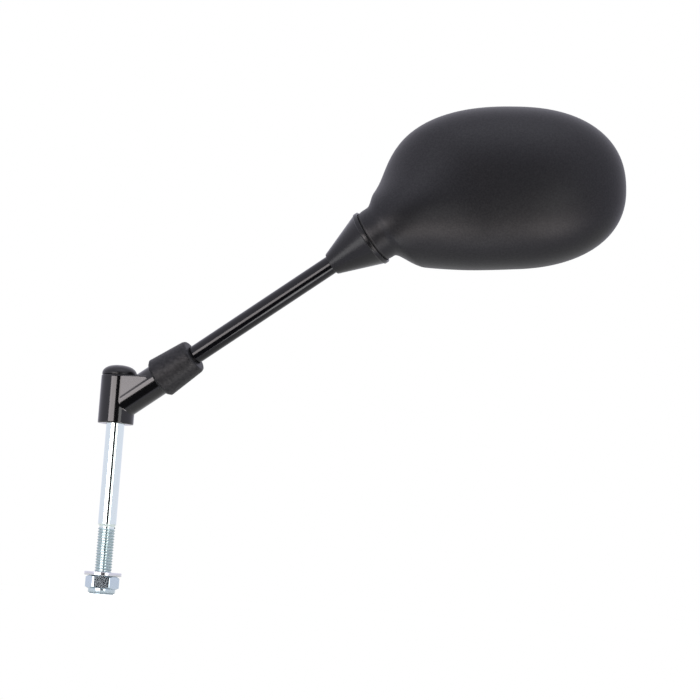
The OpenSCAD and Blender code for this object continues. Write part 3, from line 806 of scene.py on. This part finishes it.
# %% Floor
FLOOR_Z = -NUT_LOW * MM - 0.0005
FLOOR_WIDE, FLOOR_DEEP, FLOOR_FRONT, FLOOR_GLOW = 1.6, 1.0, -0.06, 0.62
bpy.ops.mesh.primitive_plane_add(size=1, location=(0.12, FLOOR_FRONT + FLOOR_DEEP / 2, FLOOR_Z))
floor = bpy.context.object
floor.name = "floor"
floor.scale = (FLOOR_WIDE, FLOOR_DEEP, 1.0)
# White uncoated paper: no gloss, and very slightly grey.
floor_paper, tree, shader, mm = finish_of("white_paper", "#EDEDED", 0.9)
seen = add(tree, "ShaderNodeLightPath").outputs["Is Camera Ray"]
power = add(tree, "ShaderNodeMath", {"operation": "MULTIPLY"}, i0=seen, i1=FLOOR_GLOW).outputs[0]
glow = add(tree, "ShaderNodeEmission", Color=linear("#FFFFFF"), Strength=power)
both = add(tree, "ShaderNodeAddShader", i0=shader.outputs[0], i1=glow.outputs[0])
tree.links.new(both.outputs[0], tree.nodes["Material Output"].inputs["Surface"])
floor.data.materials.append(floor_paper)
print("floor at", round(FLOOR_Z / MM, 1), "mm")

# %% [markdown]
# The room
#
# Gloss paint is a map of the studio. The stripes on the barrel and the boss say that the room was
# dark around and below the camera, and white at the sides, above and behind the mirror. An image
# of a studio could light it, but a world of a few nodes is easier to change: white for the
# camera, soft light for dull surfaces, and for reflections white walls that fade to a dark room
# in front, a little brighter towards the ceiling.

# %% World
DARK_WAY = (0.0, -0.958, -0.287)
world = bpy.data.worlds.new("studio")
bpy.context.scene.world = world
world.use_nodes = True
tree = world.node_tree
tree.nodes.clear()


def ranged(value, ranges, settings=None):
    """A Map Range node: from the first two of the ranges to the last two."""
    node = add(tree, "ShaderNodeMapRange", settings, Value=value)
    for label, limit in zip(("From Min", "From Max", "To Min", "To Max"), ranges):
        node.inputs[label].default_value = limit
    return node.outputs[0]


path = add(tree, "ShaderNodeLightPath").outputs
mirrored = add(tree, "ShaderNodeMath", {"operation": "MAXIMUM"},
               i0=path["Is Glossy Ray"], i1=path["Is Transmission Ray"])
way = add(tree, "ShaderNodeTexCoord").outputs["Generated"]
front = add(tree, "ShaderNodeVectorMath", {"operation": "DOT_PRODUCT"}, i0=way, i1=DARK_WAY)
walls = ranged(front.outputs["Value"], (0.70, 0.80, 1.0, 0.03), {"interpolation_type": "SMOOTHSTEP"})
height = add(tree, "ShaderNodeSeparateXYZ", Vector=way)
brighter = ranged(height.outputs["Z"], (0.1, 0.9, 1.0, 1.35))
glow = add(tree, "ShaderNodeMath", {"operation": "MULTIPLY"}, i0=walls, i1=brighter)
white = add(tree, "ShaderNodeBackground", Color=linear("#FFFFFF"), Strength=1.0)
soft = add(tree, "ShaderNodeBackground", Color=linear("#FFFFFF"), Strength=0.9)
around = add(tree, "ShaderNodeBackground", Color=linear("#F2F0FF"), Strength=glow.outputs[0])
unseen = add(tree, "ShaderNodeMixShader", i0=mirrored.outputs[0], i1=soft.outputs[0], i2=around.outputs[0])
last = add(tree, "ShaderNodeMixShader", i0=path["Is Camera Ray"], i1=unseen.outputs[0], i2=white.outputs[0])
add(tree, "ShaderNodeOutputWorld", Surface=last.outputs[0])
print("the room has", len(tree.nodes), "nodes")

# %% [markdown]
# Soft boxes
#
# Each bright stripe in the paint is one lamp. A large box stood left of the camera and a narrower
# one right of it, with weaker ones low on both sides and one above. They could be placed by trial.
# Here each is given by its direction from the adapter, where the stripes were read, its width and
# height in degrees, and how bright it looks beside white paper.

# %% Soft boxes
MIDDLE = Vector((0.01, 0.0, 0.01))


def lamp(name, target, way, away, size, brightness, tint="#FFFFFF"):
    """A rectangular lamp at that distance and direction from its target, which it faces."""
    light = bpy.data.lights.new(name, "AREA")
    light.shape = "RECTANGLE"
    light.size, light.size_y = size
    light.energy = brightness * math.pi * light.size * light.size_y
    light.color = linear(tint)[:3]
    obj = bpy.data.objects.new(name, light)
    bpy.context.scene.collection.objects.link(obj)
    obj.location = target + way * away
    obj.rotation_euler = (-way).to_track_quat("-Z", "Y").to_euler()
    print(name, "hangs at", [round(c, 2) for c in obj.location])


def soft_box(name, azimuth, elevation, wide, tall, brightness, tint="#FFFFFF", away=1.6):
    """A lamp whose direction, width and height are in degrees, as the adapter sees it."""
    a, e = math.radians(azimuth), math.radians(elevation)
    way = Vector((math.sin(a) * math.cos(e), -math.cos(a) * math.cos(e), math.sin(e)))
    size = [2 * away * math.tan(math.radians(angle / 2)) for angle in (wide, tall)]
    lamp(name, MIDDLE, way, away, size, brightness, tint)


soft_box("left_box", -28, -2, 35, 20, 7.3, "#FFF7F8", 0.8)
soft_box("side_box", -64, -25, 22, 22, 3.0)
soft_box("right_box", 28, -2, 17.4, 20, 3.2)
soft_box("top_box", 10, 60, 45, 30, 0.8, "#F4F6FF")
soft_box("low_box", 35, -32, 30, 25, 5.0, "#FFF6F4")

# %% [markdown]
# The rod's card
#
# The rod carries a second, lower line of light towards the cone. It is too narrow for a far lamp,
# so a small card hangs close by. Its direction follows from the law of mirrors: light that leaves
# towards the camera came in at the same angle on the other side of the surface's normal.

# %% Card for the rod's lower line
ROD_SPOT, CARD_TILT, CARD_SIDE, CARD_AWAY, CARD_GLOW = 118.0, math.radians(23), 0.09, 0.3, 6.0
axis = Vector(STEM)
spot = Vector(along_stem([[0, 0, ROD_SPOT]])[0] * MM)
to_eye = (EYE - spot).normalized()
facing = (to_eye - axis * to_eye.dot(axis)).normalized()
low_side = facing.cross(axis) if facing.cross(axis).z < 0 else axis.cross(facing)
normal = facing * math.cos(CARD_TILT) + low_side * math.sin(CARD_TILT)
bounce = normal * 2 * normal.dot(to_eye) - to_eye
lamp("rod_card", spot, bounce, CARD_AWAY, (CARD_SIDE, CARD_SIDE), CARD_GLOW)

# %% [markdown]
# Colour view
#
# The Standard view shows each colour as it is written.

# %% Colour view
bpy.context.scene.view_settings.view_transform = "Standard"
